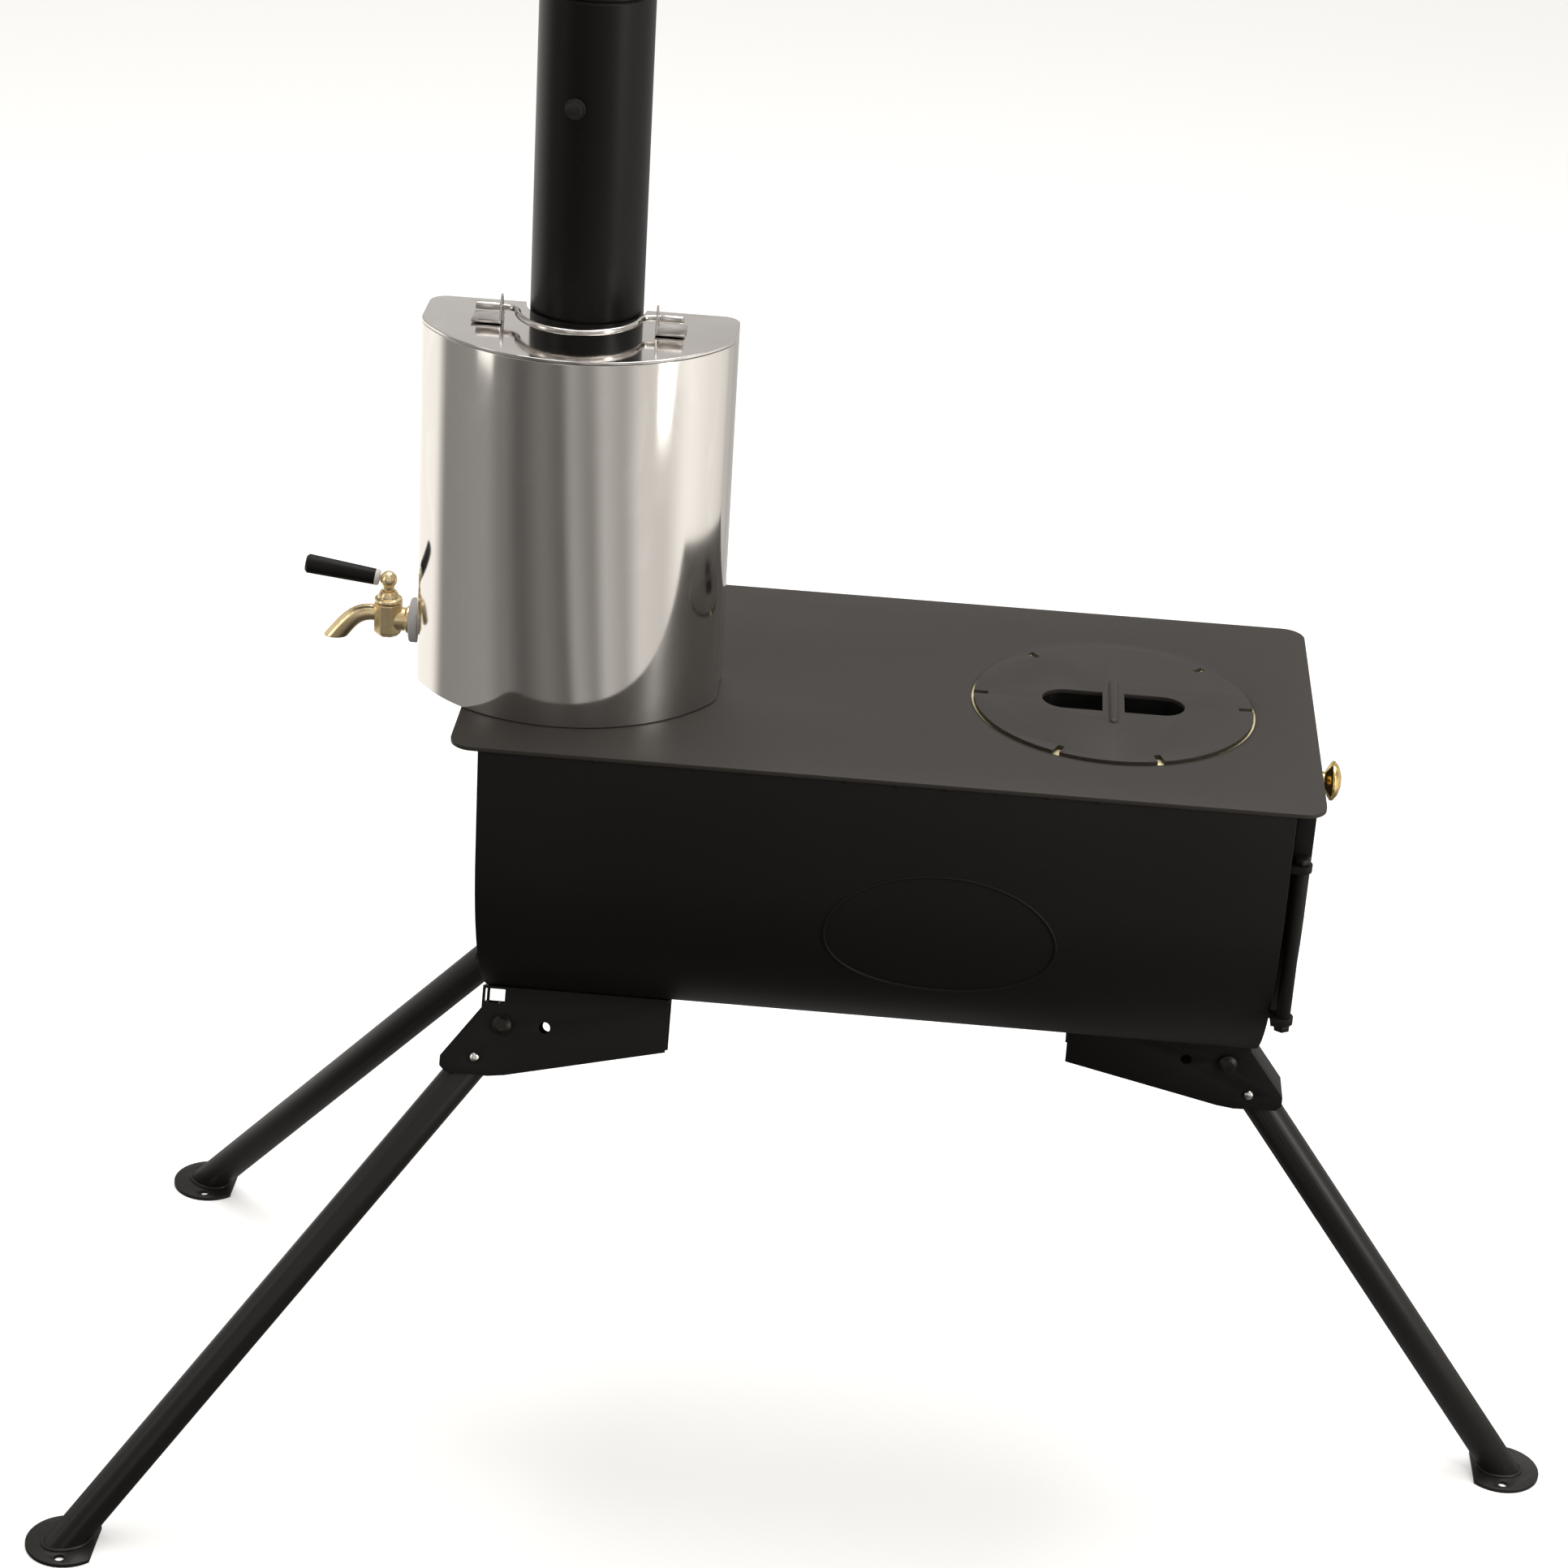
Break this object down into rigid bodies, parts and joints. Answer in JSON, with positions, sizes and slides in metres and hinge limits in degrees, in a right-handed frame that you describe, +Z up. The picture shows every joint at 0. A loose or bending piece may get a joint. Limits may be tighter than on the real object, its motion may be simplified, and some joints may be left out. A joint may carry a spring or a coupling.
{
  "type": "portable wood stove",
  "caption": "Portable wood stove: half-round sheet steel firebox on folding tube legs, round flue, lift-out hot plate, side-hung door and a stainless water tank with a lever tap.",
  "frame": {"origin": "middle of the footprint, on the floor the feet stand on", "axes": "+Z up; +X along the firebox towards the door; +Y across it, away from the door hinge; the flue and the water tank stand at the -X end"},
  "size_m": [1.0962, 0.553, 1.5773],
  "materials": {
    "plate_black": "heat-resistant paint, satin, warm dark grey where it has been heated",
    "stove_black": "heat-resistant paint, satin black",
    "flue_black": "heat-resistant paint, satin black",
    "leg_black": "powder coat, satin black",
    "dark_bolt": "blackened steel",
    "zinc": "bright zinc plate",
    "gold_zinc": "yellow zinc plate",
    "raw_steel": "bare mill finish",
    "rope": "braided glass-fibre rope",
    "brass": "cast and turned, satin",
    "polished_brass": "polished",
    "stainless": "mirror-polished stainless steel",
    "stainless_wire": "bright stainless steel",
    "silicone": "pale grey silicone",
    "grip": "dipped vinyl, black",
    "nylon": "white nylon"
  },
  "bodies": {
    "stove": {"firebox_shell": "stove_black", "rear_panel": "stove_black", "front_panel": "stove_black", "top_plate": "plate_black", "hotplate_support_ring": "gold_zinc", "grate": "raw_steel", "flue_collar": "stove_black", "flue_section_lower": "flue_black", "flue_section_upper": "flue_black", "flue_screw": "dark_bolt", "flue_screw_nut": "dark_bolt", "hinge_lug_upper": "stove_black", "hinge_lug_lower": "stove_black", "hinge_pin": "dark_bolt", "hinge_pin_nut": "dark_bolt", "bracket_front": "stove_black", "pivot_bolt_front": "dark_bolt", "pivot_nut_front": "dark_bolt", "bracket_rear_near": "stove_black", "pivot_bolt_rear_near": "dark_bolt", "pivot_nut_rear_near": "dark_bolt", "bracket_rear_far": "stove_black", "pivot_bolt_rear_far": "dark_bolt", "pivot_nut_rear_far": "dark_bolt"},
    "hot_plate": {"hotplate_lid": "plate_black", "hotplate_dish": "stove_black"},
    "door": {"door_panel": "stove_black", "door_hinge_tube": "stove_black", "door_seal": "rope", "air_guide_lower": "stove_black", "air_guide_upper": "stove_black"},
    "latch": {"latch_spindle": "brass", "latch_cam": "raw_steel", "latch_knob": "polished_brass"},
    "air_shutter": {"air_slide": "stove_black", "air_knob": "polished_brass"},
    "tank": {"tank_body": "stainless", "tap_washer_outer": "silicone", "tap_washer_inner": "silicone", "tap_lock_nut": "brass", "tap_body": "brass", "tap_bonnet": "brass"},
    "tank_cover": {"tank_lid": "stainless", "bail_tab_left": "stainless_wire", "bail_tab_right": "stainless_wire"},
    "bail": {"bail_handle": "stainless_wire"},
    "tap_lever": {"tap_plug": "brass", "tap_ferrule": "nylon", "tap_grip": "grip"},
    "leg_front": {"leg_tube_front": "leg_black", "foot_front": "leg_black"},
    "button_front": {"snap_button_front": "zinc"},
    "leg_rear_near": {"leg_tube_rear_near": "leg_black", "foot_rear_near": "leg_black"},
    "button_rear_near": {"snap_button_rear_near": "zinc"},
    "leg_rear_far": {"leg_tube_rear_far": "leg_black", "foot_rear_far": "leg_black"},
    "button_rear_far": {"snap_button_rear_far": "zinc"}
  },
  "joints": [
    {"name": "leg_fold_front", "type": "hinge", "parent": "stove", "child": "leg_front", "pos_m": [0.27763, 0, 0.339], "axis": [0, 1, 0], "range_deg": [0, 125.7], "deforming": ["snap_button_front"]},
    {"name": "button_press_front", "type": "slide", "parent": "leg_front", "child": "button_front", "axis": [0, 1, 0], "range_m": [0, 0.0052], "stiffness_N_per_m": 1500},
    {"name": "leg_fold_rear_near", "type": "hinge", "parent": "stove", "child": "leg_rear_near", "pos_m": [-0.23738, -0.07878, 0.35683], "axis": [0, -0.9026, 0.4305], "range_deg": [0, 125.7], "deforming": ["snap_button_rear_near"]},
    {"name": "button_press_rear_near", "type": "slide", "parent": "leg_rear_near", "child": "button_rear_near", "axis": [0, 0.9026, -0.4305], "range_m": [0, 0.0052], "stiffness_N_per_m": 1500},
    {"name": "leg_fold_rear_far", "type": "hinge", "parent": "stove", "child": "leg_rear_far", "pos_m": [-0.23738, 0.07878, 0.35683], "axis": [0, -0.9026, -0.4305], "range_deg": [0, 125.7], "deforming": ["snap_button_rear_far"]},
    {"name": "button_press_rear_far", "type": "slide", "parent": "leg_rear_far", "child": "button_rear_far", "axis": [0, -0.9026, -0.4305], "range_m": [0, 0.0052], "stiffness_N_per_m": 1500},
    {"name": "hot_plate_lift", "type": "slide", "parent": "stove", "child": "hot_plate", "axis": [0, 0, 1], "range_m": [0, 0.06]},
    {"name": "door_swing", "type": "hinge", "parent": "stove", "child": "door", "pos_m": [0.29862, -0.142, 0.504], "axis": [0, 0, -1], "range_deg": [0, 110]},
    {"name": "latch_turn", "type": "hinge", "parent": "door", "child": "latch", "pos_m": [0.30462, 0.1, 0.515], "axis": [-1, 0, 0], "range_deg": [0, 90]},
    {"name": "air_shutter_slide", "type": "slide", "parent": "door", "child": "air_shutter", "axis": [0, 1, 0], "range_m": [0, 0.013]},
    {"name": "tank_lift", "type": "slide", "parent": "stove", "child": "tank", "axis": [0, 0, 1], "range_m": [0, 0.04]},
    {"name": "tank_cover_lift", "type": "slide", "parent": "tank", "child": "tank_cover", "axis": [0, 0, 1], "range_m": [0, 0.03]},
    {"name": "bail_raise", "type": "hinge", "parent": "tank_cover", "child": "bail", "pos_m": [-0.20538, -0.044, 0.8746], "axis": [-1, 0, 0], "range_deg": [0, 90]},
    {"name": "tap_turn", "type": "hinge", "parent": "tank", "child": "tap_lever", "pos_m": [-0.33187, -0.03, 0.66], "axis": [0, 0, -1], "range_deg": [0, 90]}
  ]
}
